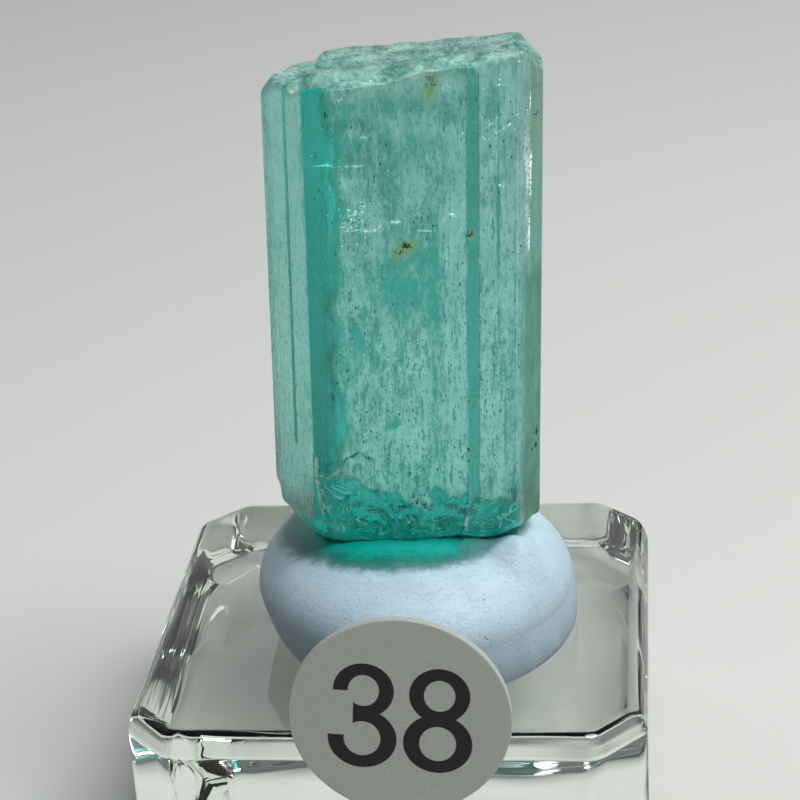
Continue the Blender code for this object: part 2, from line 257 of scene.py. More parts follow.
crystal = {
    "foot": (0.8, -0.6, blockTop + 7.3),
    "lean": radians(2.3),
    "turn": radians(7.0),
    # outline, anticlockwise: left facet, wide front, narrow facet, strip, right facet, then four at the back
    "corners": [(-7.78, -1.30), (-5.45, -5.10), (3.42, -5.10), (4.08, -4.62),
                (6.30, -4.10), (7.82, -1.30), (7.86, 1.80), (5.95, 5.00), (-4.12, 5.00)],
    "cells": [0.08, 0.11, 0.1, 0.09, 0.13, 0.17, 0.17, 0.17, 0.17],  # gap between points on each side
    "fillet": 0.12,
    "girth": 42.2,  # length round the outline that the grooves are spaced over
    "sideRows": 180,
    "capRings": 26,
    "centre": (0.2, -0.2),  # where the rings over both ends close
    "grooveAlong": 2.56,  # along the left facet
    "grooveDepth": 0.22,
    "layerStep": 12.3,  # height at which the thin layer's edge jumps sideways
    "layerDepth": 0.13,
    # chips: centre and radii of the ellipsoids that are broken out
    "chips": [((-10.0, -1.2, 1.2), (2.7, 3.0, 3.2)), ((-8.1, -4.4, 1.0), (1.5, 1.3, 1.5)),
              ((-5.75, -5.5, 6.2), (0.42, 0.5, 0.5))],
    # two broken levels along the front's lower edge: x, then the height where each begins
    "breaks": [
        ([-6.0, -5.3, -4.0, -2.9, -2.0, -1.75, -1.3, 8.0], [6.2, 5.75, 5.6, 5.75, 5.6, 4.6, 3.0, 2.4]),
        ([-6.0, -5.0, -3.6, -2.2, -0.9, 0.9, 1.7, 2.4, 3.2, 4.4, 7.0],
         [4.6, 4.6, 4.4, 4.0, 3.3, 2.5, 3.4, 3.1, 3.0, 2.9, 2.5]),
    ],
    # soft patches seen through the front: x, z, half width, half height, strength
    "pale": [
        (-2.9, 21.3, 1.1, 1.4, 0.5), (0.0, 21.9, 1.2, 1.6, 0.45), (-0.2, 25.0, 0.8, 0.8, 0.35),
        (-2.7, 15.8, 0.9, 2.8, 0.6), (-3.2, 18.9, 1.3, 0.7, 0.45), (-0.9, 6.5, 3.0, 4.6, 0.5),
        (1.2, 25.0, 1.6, 1.6, 0.5), (1.9, 20.0, 1.0, 3.4, 0.4), (-3.3, 9.0, 0.7, 2.2, 0.3),
        (1.2, 11.5, 1.6, 2.0, 0.3),
    ],
    "deep": [
        (0.4, 23.7, 1.7, 0.9, 0.5), (-1.6, 26.2, 2.6, 0.8, 0.4), (0.0, 16.0, 2.3, 2.9, 0.6),
        (-0.8, 8.4, 0.5, 1.4, 0.35), (-1.0, 24.7, 0.5, 1.2, 0.25), (-2.6, 12.8, 0.7, 0.8, 0.5),
        (-3.4, 24.6, 0.9, 2.4, 0.3), (-3.4, 10.9, 0.6, 1.4, 0.55), (-4.4, 26.9, 1.0, 0.8, 0.5),
        (-3.3, 2.8, 0.9, 0.6, 0.8), (1.8, 3.0, 0.8, 0.5, 0.8), (2.85, 12.1, 0.5, 0.10, 0.5),
        (6.0, 10.1, 0.9, 0.09, 0.5), (-4.6, 2.6, 0.8, 1.6, 0.7), (-0.6, 7.8, 0.8, 0.3, 0.5),
        (-2.5, 12.0, 0.4, 0.8, 0.4),
    ],
    "rustSpots": [  # yellow halos, listed in the same way
        (0.05, 18.4, 0.50, 0.32, 1.3), (-0.45, 18.0, 0.35, 0.3, 0.9), (3.55, 19.0, 0.2, 0.25, 0.8),
        (1.5, 27.8, 0.45, 0.7, 1.2), (1.35, 26.9, 0.35, 0.5, 0.5),
    ],
    "ior": 1.577,
    "absorbColour": (0.06, 0.85, 0.825, 1),
    "absorbDensity": 112.0,
    # what a face does to light that passes it: clear to milky, patches, left band, foot from high to low
    "milkTints": [(0.012, 0.29, 0.23, 1), (1.0, 1.0, 0.95, 1)],
    "patchTint": (0.006, 0.38, 0.30, 1),
    "bandTint": (0.012, 0.70, 0.64, 1),
    "footTints": [(0.008, 0.55, 0.47, 1), (0.008, 0.92, 0.84, 1)],
    "rustTint": (0.50, 0.42, 0.01, 1),
    # colours of the frosted skin: dark to pale, where the stone is deep, the right rim, the shell lines
    "frostTints": [(0.09, 0.42, 0.32, 1), (0.58, 0.93, 0.82, 1)],
    "frostDeep": (0.01, 0.68, 0.56, 1),
    "frostRim": [(0.004, 0.15, 0.09, 1), (0.06, 0.32, 0.19, 1)],
    "shellTint": (0.42, 1.0, 0.90, 1),
}
crystal["turned"] = Matrix.Rotation(crystal["lean"], 3, "Y") @ Matrix.Rotation(crystal["turn"], 3, "Z")


def crystalToFrame(points):
    # turn about the prism's length, lean to the right, then move to the foot point
    return points @ np.array(crystal["turned"]).T + np.array(crystal["foot"])


def topHeight(x, y):
    # tilted plane, less a ledge at the left front and worn shoulders, plus long ridges and small crests
    ledge = 0.5 * ease(-y, 2.6, 4.6) * (1.0 - ease(x, -0.9, 1.4))
    shoulders = ease(-x, 6.8, 7.9) + 1.05 * ease(x, 6.6, 7.9)
    ridges = 0.16 * np.sin(1.9 * y + 0.5 * np.sin(0.9 * x) + 0.3 * x) + 0.10 * np.sin(3.4 * y - 0.7 * x + 1.3)
    crests = 0.13 * (0.5 - np.abs(hills(x / 2.4 + y / 3.0 + 9, y / 0.8 + 5, 11)))
    crests += 0.05 * (0.5 - np.abs(hills(x / 1.3 + y / 2.0 + 4, y / 0.5 + 2, 12)))
    return 27.6 + 0.1 * x - 0.13 * y - ledge - shoulders + ridges + crests


def footHeight(x, y):
    # shallow boss that rises to the front and left rims, with waves and small crests
    front = 1.5 * ease(-y, 2.4, 5.1)
    left = 2.6 * ease(-x, 3.4, 7.8) * (1.0 - 0.2 * ease(-y, 2.4, 5.1))
    right = 1.1 * ease(x, 3.4, 7.6)
    waves = 0.12 * np.sin(1.3 * x + 0.5 * y) + 0.09 * np.sin(2.1 * y - 0.9 * x)
    crests = 0.16 * (0.5 - np.abs(hills(x / 1.1 + 3, y / 0.8 + 7, 21)))
    return -1.2 + front + left + right + waves + crests


def chipped(points, centre, radii, seed):
    # a point inside the ellipsoid moves straight away from its centre to its surface, which carries faint
    # shell waves and is uneven, so that the chip's rim is ragged
    centre = np.array(centre)
    away = (points - centre) / np.array(radii)
    distance = np.sqrt((away ** 2).sum(-1))
    wave = 1.0 + 0.010 * np.sin(16.0 * distance + 9.0 * away[..., 2] + 4.0 * away[..., 0])
    wave = wave + 0.05 * hills(away[..., 0] * 4 + seed, away[..., 2] * 4 + away[..., 1] * 3, 41)
    wave = wave + 0.02 * hills(away[..., 0] * 13 + seed, away[..., 2] * 13 + away[..., 1] * 9, 42)
    push = np.where(distance < wave, wave / np.maximum(distance, 1e-6), 1.0)
    return centre + (points - centre) * push[..., None]


def crystalRelief(side, along, around, x, z):
    # how far the sides are set in: fine grooves up the length, one deep groove, the thin layer's edge, two
    # eased edges, and the broken lower edge across the front
    leftFacet, wideFront, strip, rightFacet = 0, 1, 3, 4
    depth = 0.022 + 0.012 * hills(around / 0.37, z / 9.0, 31, 114)
    depth = depth + 0.007 * hills(around / 0.151, z / 5.0, 32)
    grooveAlong = crystal["grooveAlong"] + 0.02 * hills(z / 3, z * 0, 33)
    groove = np.clip(1.0 - np.abs(along - grooveAlong) / 0.13, 0.0, 1.0) * ease(z, 5.9, 6.3)
    depth = depth + crystal["grooveDepth"] * (side == leftFacet) * groove
    layerStart = np.where(z > crystal["layerStep"], 1.11, 1.51)
    layer = ease(along, layerStart - 0.03, layerStart + 0.05) * ease(z, 2.4, 3.6)
    depth = depth + crystal["layerDepth"] * (side == strip) * layer
    depth = depth + 0.13 * (side == rightFacet) * (1.0 - ease(along, 0.2, 0.8))
    depth = depth + 0.06 * (side == wideFront) * ease(along, 7.6, 8.8)
    return depth + (side >= wideFront) * (side <= rightFacet) * brokenDepth(x, z)


def belowBreak(level, x, z):
    # how far below the level's line, made ragged by small and smaller noise
    line = np.interp(x, *crystal["breaks"][level])
    rag = 0.40 * hills(x / 0.8 + level * 9, z / 1.6, 43) + 0.20 * hills(x / 0.25, z / 0.5 + level * 5, 44)
    return line + rag - z


def brokenDepth(x, z):
    # each level steps in at its line; the lower one goes on deepening downwards, with ripples
    upper, lower = belowBreak(0, x, z), belowBreak(1, x, z)
    ripple = 0.05 * np.sin(5.0 * lower + 2.0 * np.sin(1.7 * x)) + 0.06 * hills(x / 0.7, z / 0.5, 45)
    lowerDepth = (0.10 + 0.13 * lower + ripple) * ease(lower, 0.0, 0.4)
    return (0.13 * ease(upper, 0.0, 0.12) + lowerDepth) * (1 - ease(x, 4.4, 6.2))


def crystalRings():
    # columns follow the outline; rows run from the foot's middle out to its rim, up the sides and in again
    # over the top. Side rows: z = low + (high - low) * share. Cap rings: the rim drawn towards the centre
    places, outs, side, along = filletedOutline(crystal["corners"], crystal["cells"], crystal["fillet"])
    step = np.hypot(*(np.roll(places, -1, 0) - places).T)
    around = (np.concatenate([[0], np.cumsum(step)[:-1]]) / step.sum()) * crystal["girth"]
    share = np.linspace(0, 1, crystal["sideRows"])[:, None]
    low, high = footHeight(*places.T), topHeight(*places.T)
    z = low + (high - low) * share
    depth = crystalRelief(side, along, around, places[:, 0], z)
    depth = depth + 0.12 * (1 - ease(z - low, 0.0, 0.25)) + 0.10 * (1 - ease(high - z, 0.0, 0.2))
    sides = np.stack([places[:, 0] - outs[:, 0] * depth, places[:, 1] - outs[:, 1] * depth, z], -1)
    centre = np.array(crystal["centre"])
    shrink = np.linspace(0, 1, crystal["capRings"] + 1)[1:-1, None, None]
    footRim, topRim = sides[0, :, :2], sides[-1, :, :2]
    sides[0], sides[-1] = raised(footRim, footHeight), raised(topRim, topHeight)
    foot = raised(centre + (footRim - centre) * shrink, footHeight)
    top = raised(centre + (topRim - centre) * shrink[::-1], topHeight)
    rings = np.concatenate([foot, sides, top])
    for seed, (chipCentre, radii) in enumerate(crystal["chips"]):
        rings = chipped(rings, chipCentre, radii, 3 * seed)
    return rings


def cloudSum(clouds, x, z):
    # sum of soft ovals, strength * exp(-(dx^2 + dz^2)), bent by slow and by finer noise
    bentX = x + 0.5 * hills(x / 1.1 + 31, z / 2.2 + 17, 51) + 0.15 * hills(x / 0.3 + 3, z / 0.9 + 7, 52)
    bentZ = z + 0.7 * hills(x / 1.3 + 11, z / 1.6 + 5, 53) + 0.3 * hills(x / 0.35 + 5, z / 0.6, 54)
    total = np.zeros_like(x)
    for cloudX, cloudZ, width, height, strength in clouds:
        total += strength * softLine(bentX - cloudX, width) * softLine(bentZ - cloudZ, height)
    return total


def layerLine(x, z):
    # the dark line down the strip where the thin layer ends, with a level run where it jumps sideways
    lineX = np.where(z > crystal["layerStep"], 5.16, 5.55) + 0.04 * hills(z / 0.7, z * 0, 56)
    line = softLine(x - lineX, 0.085) * (0.5 + 0.5 * hills(z / 1.5, z * 0 + 3, 57))
    return line + softLine(z - crystal["layerStep"], 0.1) * between(x, (5.1, 5.2), (5.5, 5.6))


def paleRibs(x, z):
    # one rib runs down beside the broken corner, the other along the lower break's left half
    ribX = -5.32 + 0.45 * (np.clip(5.9 - z, 0, 4) / 4) ** 1.6 + 0.05 * hills(z / 0.6, z * 0 + 2, 59)
    upright = softLine(x - ribX, 0.09) * between(z, (1.6, 2.4), (5.6, 5.9))
    level = softLine(belowBreak(1, x, z) - 0.05, 0.11) * between(x, (-5.3, -5.1), (-2.6, -1.4))
    return np.maximum(upright, 0.8 * level)


def crystalZones(rings):
    # four values for each point: how pale, how deep in colour, how frosted, and how rusty
    x, y, z = rings[..., 0], rings[..., 1], rings[..., 2]
    front = ease(-y, 2.6, 4.0)
    fromTop, fromFoot = z - topHeight(x, y), z - footHeight(x, y)
    topness, footness = ease(fromTop, -0.45, -0.1), ease(-fromFoot, -0.5, -0.1)
    leftFace = ease(-x, 5.5, 5.7) * ease(-y, -1.2, 0.2)
    strip = front * between(x, (4.05, 4.2), (6.6, 7.4))
    darkFacet = front * between(x, (3.36, 3.46), (4.0, 4.12))
    upperInner = ease(z, 15, 18) * (1 - ease(x, 6.95, 7.2))
    rightRim = ease(x, 6.3, 6.9) * ease(-y, 0.0, 1.5) * (1 - 0.75 * upperInner)
    leftBand = front * ease(x, -5.5, -5.4) * (1 - ease(x + 0.5 * hills(z / 1.5, z * 0 + 7, 58), -4.2, -3.1))
    broken = front * ease(belowBreak(1, x, z), -0.35, 0.55) * (1 - 0.8 * ease(-x, 5.5, 5.8))
    ribs = front * paleRibs(x, z)

    paleBand = front * between(x, (2.1, 2.35), (3.15, 3.4)) * (1 - ease(z, 20, 26))
    pale = cloudSum(crystal["pale"], x, z) * front + 0.5 * strip + 0.7 * paleBand
    pale += 0.6 * front * ease(fromTop, -1.9, -0.8) * ease(x, -5.0, -4.0)
    pale += (1 - front) * (0.75 + 0.25 * hills(x / 1.7 + y / 1.3, z / 5.0, 55))
    # painted highlight: the upper right edge made paler as a streak of light
    paintedEdgeLight = between(x, (6.25, 6.4), (6.8, 7.05)) * ease(z, 16, 20) * front
    pale = np.maximum(np.maximum(pale, leftFace), paintedEdgeLight)

    crackLine = softLine(belowBreak(0, x, z) - 0.03, 0.09) * (x > -5.5) * (x < -1.6)
    lines = layerLine(x, z) + 0.8 * crackLine + 0.28 * softLine(x - 1.55, 0.35) * (1 - ease(z, 19, 22))
    deep = cloudSum(crystal["deep"], x, z) + lines + 0.35 * ease(x, 5.6, 5.8) * (1 - ease(z, 13, 19))
    deep = front * deep + 0.85 * darkFacet + 0.75 * rightRim + 0.5 * ease(x, 6.9, 7.1) * ease(-y, 0, 1.5)
    deep = np.minimum(deep + 0.2 * (1 - ease(fromFoot, 1.0, 4.0)) * (1 - leftFace), 0.85)
    deep = np.maximum(deep, (0.93 + 0.02 * (1 - ease(z, 7.0, 14.0))) * leftBand)
    deep = np.maximum(deep, broken) * (1 - 0.3 * ribs)
    deep = np.maximum(deep, footness)

    rimBand = front * ease(fromTop, -1.3, -0.4) * ease(x, -4.6, -3.0)
    frost = 0.42 * topness + 0.26 * leftFace + 0.06 * strip + 0.8 * footness + 0.25 * broken
    frost += 0.30 * leftBand * (1 - ease(z, 5.5, 10.0)) + 0.35 * rimBand + 0.95 * ribs

    rust = (0.08 + 0.24 * ease(z, 16, 25)) * rightRim
    for spotX, spotZ, width, height, strength in crystal["rustSpots"]:
        rust += strength * softLine(x - spotX, width) * softLine(z - spotZ, height) * front
    return np.clip(np.stack([pale, deep, frost, rust], -1), 0.0, 1.0)


def aquamarineMaterial():
    material, shader, coords = newMaterial("aquamarineCrystal")
    local = coords.node("ShaderNodeMapping", {"vector_type": "TEXTURE"},
                        {"Vector": coords, "Location": Vector(crystal["foot"]) * mm,
                         "Rotation": crystal["turned"].to_euler("XYZ"), "Scale": (mm, mm, mm)})
    across, inward, upward = local.axes()
    zones = coords.node("ShaderNodeAttribute", {"attribute_name": "zones"}, {})
    pale, deep, frost = coords.node("ShaderNodeSeparateColor", {}, {0: zones}).outputs(0, 1, 2)
    rust, = zones.outputs("Alpha")
    # milk: blotches, long streaks, short strokes, flakes and grit, all drawn out along the prism
    blotches = local.stretched(1, 1, 0.6).noise(0.8, 5.0, 0.62, 0.5)
    streaks = local.stretched(1, 1, 0.07).noise(3.2, 5.0, 0.7)
    strokes = local.stretched(1, 1, 0.16).noise(6.0, 3.0, 0.75)
    flakes = local.stretched(1, 1, 0.5).noise(3.4, 5.0, 0.75, 0.3)
    grit = local.stretched(1, 1, 0.6).noise(8.5, 1.0, 0.5)
    lowPart = upward.rise(22.0, 13.0)
    rubbed = blotches.rise(0.42, 0.60) * (0.25 + 0.75 * lowPart)
    milk = 0.18 + 0.1 * lowPart + pale * 0.8 + (blotches - 0.5) * 2.9
    milk = milk + ((streaks - 0.5) * 2.6 + (flakes - 0.5) * 2.8) * (0.55 + 0.5 * lowPart)
    milk = milk + (strokes.rise(0.56, 0.68) - strokes.rise(0.44, 0.34)) * (0.5 + 1.6 * rubbed)
    milk = milk + (grit.rise(0.36, 0.28) * 1.3 - grit.rise(0.62, 0.72) * 1.9) * (0.3 + 0.9 * lowPart)
    # shell-shaped fracture lines on the broken foot: contour lines of a slow, bent noise
    contours = local.stretched(0.8, 1.0, 1.4).noise(0.42, 1.4, 0.5, 0.6) * 14.0
    shells = (contours.fraction() - 0.5).size().rise(0.20, 0.03) * deep.rise(0.96, 1.0)
    shells = shells * local.noise(1.3, 3.0, 0.6).rise(0.41, 0.53) * (0.4 + 0.6 * flakes.rise(0.40, 0.58))
    tint = milk.rise(-0.3, 1.15).blend(*crystal["milkTints"])
    patches = (deep * (0.85 + 0.7 * flakes.rise(0.62, 0.38))).clamped()
    tint = patches.rise(0.0, 0.82).blend(tint, crystal["patchTint"])
    tint = deep.rise(0.86, 0.93).blend(tint, crystal["bandTint"])
    tint = deep.rise(0.95, 1.0).blend(tint, upward.rise(3.0, 0.6).blend(*crystal["footTints"]))
    tint = (rust * (0.5 + flakes.rise(0.4, 0.6))).clamped().blend(tint, crystal["rustTint"])
    height = streaks * 0.4 + strokes * 0.35 + flakes * (0.4 + 3.0 * frost) + shells * 0.8
    bump = bumpOf(coords, height, 0.5, 0.04)
    feed(shader, {"Base Color": tint, "Roughness": 0.08 + 0.25 * streaks.rise(0.42, 0.68) + 0.4 * frost,
                  "Normal": bump, "Transmission Weight": 1.0, "IOR": crystal["ior"]})
    # the frosted skin lies over the clear stone in a share that varies
    rim = across.rise(6.35, 6.8) * inward.rise(-0.2, -1.2) * upward.rise(18.5, 15.0)
    frostColour = (blotches * 0.5 + flakes * 0.5).rise(0.38, 0.62).blend(*crystal["frostTints"])
    frostColour = deep.rise(0.84, 0.92).blend(frostColour, crystal["frostDeep"])
    frostColour = rim.blend(frostColour, blotches.rise(0.35, 0.65).blend(*crystal["frostRim"]))
    frostColour = shells.blend(frostColour, crystal["shellTint"])
    frosted = coords.node("ShaderNodeBsdfPrincipled", {}, {"Base Color": frostColour, "Roughness": 0.45,
                                                           "Normal": bump})
    share = frost * (0.45 + 0.5 * flakes.rise(0.35, 0.65) + 0.3 * blotches.rise(0.4, 0.6))
    share = share + 0.8 * shells + 0.6 * rim + 0.10 * strokes.rise(0.60, 0.72) * rubbed
    mixed = coords.node("ShaderNodeMixShader", {}, {0: share.clamped(), 1: Wire(shader.outputs[0]),
                                                    2: frosted})
    feed(material.node_tree.nodes["Material Output"], {"Surface": mixed})
    absorbInside(coords, crystal["absorbColour"], crystal["absorbDensity"])
    return material


def makeCrystal():
    rings, middle = crystalRings(), np.array(crystal["centre"])
    zones = crystalZones(rings).reshape(-1, 4)
    zones = np.concatenate([zones, zones[:1], zones[-1:]])
    piece = closedSkin("aquamarinePrism", crystalToFrame(rings), crystalToFrame(raised(middle, footHeight)),
                       crystalToFrame(raised(middle, topHeight)), 28, zones)
    dress(piece, aquamarineMaterial(), "aquamarine", "crystal")


specks = {
    "seed": 7,
    "front": 300,
    "within": 110,
    "colours": [(0.004, 0.006, 0.006, 1), (0.03, 0.05, 0.045, 1)],
    # the larger ones near the front: x, z, half width, half height
    "named": [(-4.18, 26.04, 0.06, 0.22), (-4.23, 9.48, 0.09, 0.30), (-4.30, 8.75, 0.03, 0.45),
              (-3.95, 10.35, 0.07, 0.09), (-4.1, 10.1, 0.05, 0.06), (3.44, 19.2, 0.07, 0.08),
              (3.42, 9.0, 0.06, 0.07), (3.40, 6.0, 0.05, 0.16), (3.43, 5.3, 0.07, 0.12),
              (3.38, 13.5, 0.05, 0.05), (0.9, 20.0, 0.03, 0.22), (1.25, 20.1, 0.03, 0.2),
              (-3.5, 21.2, 0.05, 0.08), (-4.0, 19.9, 0.05, 0.06), (4.3, 16.5, 0.05, 0.06),
              (4.9, 5.3, 0.08, 0.09), (5.9, 2.9, 0.06, 0.10), (-2.8, 14.9, 0.08, 0.07),
              (7.5, 5.5, 0.16, 0.40), (7.45, 4.7, 0.12, 0.30), (7.2, 4.6, 0.09, 0.22),
              (7.2, 16.6, 0.04, 0.35), (7.1, 11.2, 0.05, 0.12)],
}


def grainMesh(name, centres, size, pick):
    # each grain is six points joined as two four-sided pyramids, its points pushed in or out at random
    shape = np.array([(1, 0, 0), (0, 1, 0), (-1, 0, 0), (0, -1, 0), (0, 0, -1), (0, 0, 1)], float)
    jitter = pick.uniform(0.65, 1.3, (len(centres), 6, 1))
    points = crystalToFrame(centres[:, None] + shape * size * jitter).reshape(-1, 3)
    faces = np.array([(0, 1, 5), (1, 2, 5), (2, 3, 5), (3, 0, 5), (1, 0, 4), (2, 1, 4), (3, 2, 4), (0, 3, 4)])
    corners = (faces[None] + 6 * np.arange(len(centres))[:, None, None]).ravel()
    return meshPiece(name, points, corners, np.full(8 * len(centres), 3), 10)


def justInside(x):
    # y of the front faces at x, just under a tenth of a millimetre in
    corners = np.array(crystal["corners"][:6])
    return np.interp(x, corners[:, 0], corners[:, 1]) + 0.09


def makeSpecks():
    # dark grains held in the crystal, long up the prism, most of them close behind the front faces
    pick = np.random.RandomState(specks["seed"])
    named = np.array(specks["named"])
    near, deeper = specks["front"], specks["within"]
    frontX = pick.uniform(-5.2, 7.2, near)
    frontZ = 1.0 + 25.5 * pick.uniform(0, 1, near) ** 1.25
    front = np.stack([frontX, justInside(frontX) + np.abs(pick.normal(0, 0.25, near)), frontZ], -1)
    angle, reach = pick.uniform(0, 2 * pi, deeper), pick.uniform(0, 1, deeper) ** 0.5
    within = np.stack([reach * 5.6 * np.cos(angle), reach * 4.0 * np.sin(angle),
                       pick.uniform(1.5, 26.0, deeper)], -1)
    larger = np.stack([named[:, 0], justInside(named[:, 0]) + 0.02, named[:, 1]], -1)
    centres = np.concatenate([front, within, larger])
    small = pick.uniform(0.018, 0.05, near + deeper)
    tall = small * pick.uniform(0.8, 3.5, len(small))
    wide, high = np.concatenate([small, named[:, 2]]), np.concatenate([tall, named[:, 3]])
    piece = grainMesh("darkSpecks", centres, np.stack([wide, wide, high], -1)[:, None], pick)
    material, shader, coords = newMaterial("darkMineral")
    colour = coords.noise(4000.0).rise(0.35, 0.65).blend(*specks["colours"])
    feed(shader, {"Base Color": colour, "Roughness": 0.5})
    dress(piece, material, "aquamarine")


rustGrains = {
    "name": "rustStains",
    "seed": 5,
    "size": (0.03, 0.09),
    "colours": [(0.05, 0.022, 0.002, 1), (0.30, 0.17, 0.02, 1)],
    "paintedGlow": 0.0,
    # clusters just under the front faces: x, z, spread, number of grains
    "clusters": [(0.0, 18.45, 0.10, 50), (-0.35, 18.1, 0.13, 12), (3.55, 19.0, 0.07, 14),
                 (1.5, 27.9, 0.11, 24), (1.45, 27.55, 0.08, 10), (7.35, 24.9, 0.10, 14),
                 (7.3, 26.4, 0.10, 8)],
}
# painted glints: white grains that glow, standing in for small reflections of the lamp in the crystal
paintedGlintGrains = {
    "name": "paintedGlints",
    "seed": 6,
    "size": (0.02, 0.055),
    "colours": [(0.7, 0.9, 0.88, 1), (1.0, 1.0, 1.0, 1)],
    "paintedGlow": 0.9,
    "clusters": [(4.9, 25.0, 0.55, 22), (3.9, 24.8, 0.25, 10), (-3.9, 25.2, 0.35, 6), (-3.6, 23.2, 0.9, 14),
                 (-2.8, 20.2, 0.40, 48), (-1.5, 20.9, 0.8, 12), (-2.5, 19.4, 0.7, 26), (1.2, 20.6, 0.7, 8),
                 (5.2, 21.0, 0.9, 10), (-3.4, 26.6, 0.2, 4), (2.4, 27.4, 0.12, 6), (5.4, 27.2, 0.6, 10)],
}


def makeCluster(grains):
    # clusters of six-point grains scattered by a bell curve round each cluster's middle
    pick = np.random.RandomState(grains["seed"])
    centres = []
    for x, z, spread, count in grains["clusters"]:
        spotX, spotZ = x + 1.3 * pick.normal(0, spread, count), z + 0.9 * pick.normal(0, spread, count)
        centres.append(np.stack([spotX, justInside(spotX) + np.abs(pick.normal(0, 0.06, count)), spotZ], -1))
    centres = np.concatenate(centres)
    size = pick.uniform(*grains["size"], (len(centres), 1, 1)) * np.array((1, 0.8, 0.9))
    piece = grainMesh(grains["name"], centres, size, pick)
    material, shader, coords = newMaterial(grains["name"])
    colour = coords.noise(3000.0).rise(0.35, 0.65).blend(*grains["colours"])
    # a glow above 0 is painted light; the rust has none
    feed(shader, {"Base Color": colour, "Roughness": 0.7, "Emission Color": colour,
                  "Emission Strength": grains["paintedGlow"]})
    dress(piece, material, "aquamarine")


# healed cracks with painted flashes: thin sheets that glow, standing in for the light that the cracks reflect
flashes = {
    "name": "paintedCrackFlashes",
    "paintedGlow": 0.8,
    "thick": 0.02,
    "paintedSheen": [(0.10, 0.20, 0.19, 1), (0.95, 1.0, 1.0, 1)],
    # centre, half width, half depth, nod towards the front and turn in degrees, seed
    "sheets": [((-4.2, -4.2, 23.05), 0.6, 0.4, -10, 2, 1), ((-2.9, -4.1, 22.95), 0.75, 0.5, -11, -3, 11),
               ((-2.9, -3.6, 20.0), 0.5, 0.5, 10, 10, 2), ((-2.4, -4.0, 19.2), 0.85, 0.45, -4, -8, 3),
               ((-0.5, -3.9, 19.6), 0.3, 0.25, 4, 12, 4), ((1.0, -4.1, 19.1), 0.4, 0.25, -2, -20, 5),
               ((-3.3, -4.2, 19.45), 0.5, 0.35, -4, 5, 6), ((-2.4, -3.9, 24.5), 0.5, 0.25, -8, 5, 7),
               ((2.6, -4.0, 20.0), 0.2, 0.3, 10, 0, 8)],
}
# a painted streak of light down the right edge: two upright sheets inside the crystal that glow
paintedEdgeStreak = {
    **flashes,
    "name": "paintedEdgeStreak",
    "paintedGlow": 0.42,
    "sheets": [((6.78, -2.95, 21.6), 0.34, 4.4, 90, 30, 9), ((6.6, -3.1, 12.5), 0.12, 1.9, 90, 30, 10)],
}


def makeSheets(cracks):
    # each healed crack is a thin lens: radius = 1 + noise round its edge, height = thickness * (1 - r^2)
    parts, start = [], 0
    turn = np.linspace(0, 2 * pi, 49)[:-1]
    share, thick = turn / (2 * pi), cracks["thick"]
    reach, level = np.array([(0.3, -0.9), (0.7, -0.5), (1.0, 0.0), (0.7, 0.5), (0.3, 0.9)]).T[..., None]
    across, inward = reach * np.cos(turn), reach * np.sin(turn)
    for centre, width, depth, nod, spin, seed in cracks["sheets"]:
        edge = 1 + 0.35 * hills(share * 24, share * 0 + seed, 61, 24)
        edge += 0.2 * hills(share * 12, share * 0 + seed, 62, 12)
        wave = 0.12 * hills(across * 2 + 5 + seed, inward * 2 + 5, 63)
        rings = np.stack([width * edge * across, depth * edge * inward, level * thick + wave], -1)
        poles = np.array([(0, 0, -thick), (0, 0, thick)])
        poles[:, 2] += rings[0, :, 2].mean() + 0.9 * thick
        points = np.concatenate([rings.reshape(-1, 3), poles])
        turned = np.array(Euler((radians(nod), 0, radians(spin))).to_matrix())
        parts.append((points @ turned.T + np.array(centre), *skinFaces(*rings.shape[:2], start)))
        start += len(points)
    points, corners, sizes = map(np.concatenate, zip(*parts))
    piece = meshPiece(cracks["name"], crystalToFrame(points), corners, sizes)
    material, shader, coords = newMaterial(cracks["name"])
    patches = coords.noise(4200.0, 4.0, 0.7) * 0.6 + coords.noise(900.0, 3.0, 0.6) * 0.4
    # the glow and its sheen colours are painted reflections of light
    feed(shader, {"Base Color": (0.86, 1.0, 0.98, 1), "Roughness": 0.22,
                  "Emission Color": patches.rise(0.44, 0.60).blend(*cracks["paintedSheen"]),
                  "Emission Strength": cracks["paintedGlow"], "Alpha": patches.rise(0.44, 0.55)})
    dress(piece, material, "aquamarine")


putty = {
    "centre": (1.16, -1.5),
    "radius": 9.42,
    "footRadius": 8.42,
    "bulgeHeight": 3.2,
    "crown": 4.45,  # height above the bulge
    "depthRatio": 1.09,  # front to back, against the width
    "tilt": -0.087,
    "footShift": 0.71,
    "lipHeight": 1.35,
    "lipCentre": (8.0, -4.6),
    "lipSpread": 2.6,
    "gap": 0.02,  # above the glass
    "seatGrow": 0.06,
    "seatDepth": 0.06,  # below the crystal's foot
    "blues": [(0.54, 0.72, 0.83, 1), (0.60, 0.79, 0.91, 1)],
    # painted shade colour for the lower and left parts
    "paintedShadeBlue": (0.24, 0.31, 0.36, 1),
    "rubbedBlue": (0.36, 0.47, 0.55, 1),
    "grainBlue": (0.34, 0.44, 0.53, 1),
    "hair": (0.10, 0.12, 0.13, 1),
    # painted shadow of the crystal on the putty, then the painted teal light that the crystal lets through,
    # dark to bright
    "paintedOverhangShadow": (0.03, 0.20, 0.19, 1),
    "paintedCausticGlows": [(0.0, 0.18, 0.145, 1), (0.0, 0.46, 0.38, 1)],
}


